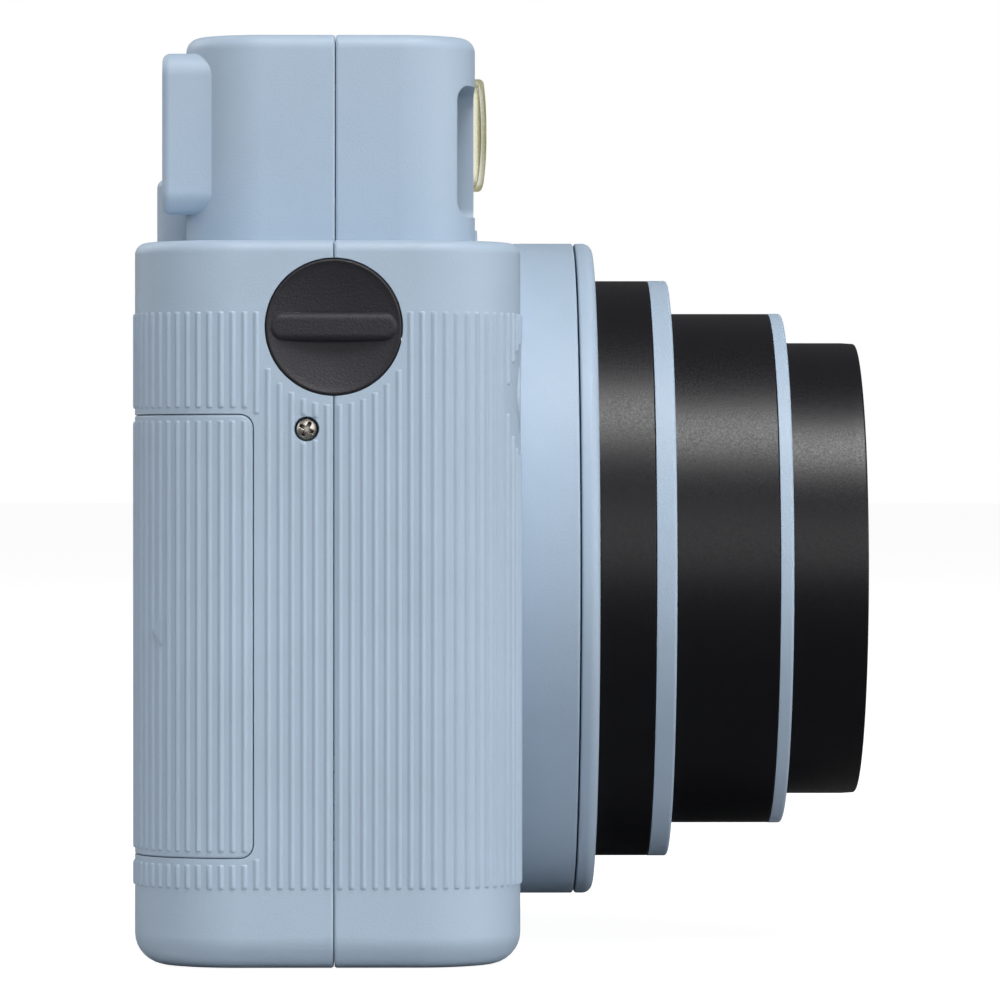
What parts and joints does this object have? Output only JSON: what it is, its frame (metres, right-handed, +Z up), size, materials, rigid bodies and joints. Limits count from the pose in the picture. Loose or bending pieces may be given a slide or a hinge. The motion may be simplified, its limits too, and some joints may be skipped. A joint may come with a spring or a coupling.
{
  "type": "instant camera",
  "caption": "Square-format instant camera with a telescoping lens, turning on/off ring, viewfinder hump, ribbed grip, hinged back cover and lift-off battery door.",
  "frame": {"origin": "on the flat underside, at mid width and mid thickness of the main body", "axes": "+Z up from the underside, lens looks along -Y, operator's left hand is at +X"},
  "size_m": [0.131, 0.0954, 0.1186],
  "materials": {
    "body_blue": "fine matte grain",
    "body_black": "satin, fine grain",
    "gloss_black": "polished",
    "clear_plastic": "clear, faint warm tint",
    "lens_glass": "coated",
    "steel": "bright",
    "mirror_plate": "polished",
    "brass": "plain",
    "board": "solder resist",
    "cell_wrap": "printed wrap, no lettering",
    "pack_plastic": "moulded",
    "film": "smooth",
    "gear_plastic": "natural acetal",
    "felt": "black felt"
  },
  "bodies": {
    "housing": {"front_shell": "body_blue", "rear_shell": "body_blue", "lens_drum": "body_blue", "shutter_switch": "body_black", "flash_window": "clear_plastic", "sensor_window": "gloss_black", "flash_reflector": "mirror_plate", "flash_tube": "lens_glass", "finder_tunnel": "body_black", "finder_front_lens": "lens_glass", "eyepiece_frame": "body_black", "eyepiece_lens": "lens_glass", "film_pack": "pack_plastic", "film_sheets": "film", "film_chamber": "body_black", "hinge_pin": "steel", "eject_motor": "steel", "roller_bracket": "steel", "slot_seal": "felt", "battery_1": "cell_wrap", "battery_2": "cell_wrap", "battery_holder": "body_black", "battery_plate": "steel", "battery_spring": "steel", "main_board": "board", "flash_capacitor": "pack_plastic", "counter_window": "clear_plastic", "strap_lug_right": "body_black", "strap_lug_left": "body_black", "case_screw_right": "steel", "case_screw_left": "steel"},
    "lens_ring": {"lens_ring": "body_blue"},
    "barrel_1": {"barrel_1": "body_black", "barrel_1_ring": "body_blue"},
    "barrel_2": {"barrel_2": "body_black", "barrel_2_ring": "body_blue"},
    "barrel_3": {"barrel_3": "body_black", "lens_face": "gloss_black", "selfie_mirror": "mirror_plate", "lens_cell": "body_black", "front_lens": "lens_glass", "shutter_plate": "body_black", "rear_lens": "lens_glass"},
    "shutter_blade": {"shutter_blade": "steel"},
    "shutter_button": {"shutter_button": "body_blue"},
    "back_cover": {"back_cover": "body_blue", "film_window": "clear_plastic", "pressure_spring": "steel"},
    "door_latch": {"door_latch": "body_blue"},
    "battery_door": {"battery_door": "body_blue"},
    "counter_disc": {"counter_disc": "gear_plastic"},
    "film_claw": {"film_claw": "steel"},
    "front_roller": {"front_roller": "steel", "front_roller_gear": "gear_plastic"},
    "rear_roller": {"rear_roller": "steel", "rear_roller_gear": "gear_plastic"},
    "reduction_gear": {"reduction_gear": "gear_plastic"},
    "motor_pinion": {"motor_pinion": "brass"}
  },
  "joints": [
    {"name": "lens_ring_turn", "type": "hinge", "parent": "housing", "child": "lens_ring", "pos_m": [0, -0.034, 0.0496], "axis": [0, 1, 0], "range_deg": [0, 70]},
    {"name": "barrel_1_slide", "type": "slide", "parent": "housing", "child": "barrel_1", "axis": [0, 1, 0], "range_m": [0, 0.01011]},
    {"name": "barrel_2_slide", "type": "slide", "parent": "barrel_1", "child": "barrel_2", "axis": [0, 1, 0], "range_m": [0, 0.01541]},
    {"name": "barrel_3_slide", "type": "slide", "parent": "barrel_2", "child": "barrel_3", "axis": [0, 1, 0], "range_m": [0, 0.01001]},
    {"name": "shutter_blade_swing", "type": "hinge", "parent": "barrel_3", "child": "shutter_blade", "pos_m": [0.0094, -0.0613, 0.0496], "axis": [0, 1, 0], "range_deg": [0, 75]},
    {"name": "shutter_button_press", "type": "slide", "parent": "housing", "child": "shutter_button", "axis": [0, 1, 0], "range_m": [0, 0.0012], "stiffness_N_per_m": 600},
    {"name": "back_cover_hinge", "type": "hinge", "parent": "housing", "child": "back_cover", "pos_m": [0.0516, 0.0231, 0.047], "axis": [0, 0, -1], "range_deg": [0, 95]},
    {"name": "door_latch_slide", "type": "slide", "parent": "back_cover", "child": "door_latch", "axis": [0, 0, 1], "range_m": [0, 0.006]},
    {"name": "battery_door_lift", "type": "slide", "parent": "housing", "child": "battery_door", "axis": [-0.7071, 0.7071, 0], "range_m": [0, 0.03]},
    {"name": "counter_disc_turn", "type": "hinge", "parent": "housing", "child": "counter_disc", "pos_m": [0.014, 0.0196, 0.093], "axis": [0, 1, 0], "range_deg": [0, 300]},
    {"name": "film_claw_slide", "type": "slide", "parent": "housing", "child": "film_claw", "axis": [1, 0, 0], "range_m": [0, 0.0045]},
    {"name": "reduction_gear_turn", "type": "hinge", "parent": "housing", "child": "reduction_gear", "pos_m": [0.0555, -0.0048, 0.01], "axis": [0, 0, 1], "continuous": true},
    {"name": "front_roller_turn", "type": "hinge", "parent": "housing", "child": "front_roller", "pos_m": [0.0555, 0.0042, 0.01], "axis": [0, 0, 1], "continuous": true},
    {"name": "rear_roller_turn", "type": "hinge", "parent": "housing", "child": "rear_roller", "pos_m": [0.0555, 0.0114, 0.01], "axis": [0, 0, 1], "continuous": true},
    {"name": "motor_pinion_turn", "type": "hinge", "parent": "housing", "child": "motor_pinion", "pos_m": [0.0555, -0.0126, 0.01], "axis": [0, 0, 1], "continuous": true}
  ],
  "couplings": [
    {"joint": "barrel_1_slide", "follows": "lens_ring_turn", "m_per_rad": 0.008267},
    {"joint": "barrel_2_slide", "follows": "lens_ring_turn", "m_per_rad": 0.012605},
    {"joint": "barrel_3_slide", "follows": "lens_ring_turn", "m_per_rad": 0.0081851},
    {"joint": "reduction_gear_turn", "follows": "front_roller_turn", "ratio": -0.66667},
    {"joint": "rear_roller_turn", "follows": "front_roller_turn", "ratio": -1},
    {"joint": "motor_pinion_turn", "follows": "front_roller_turn", "ratio": 1.5}
  ]
}
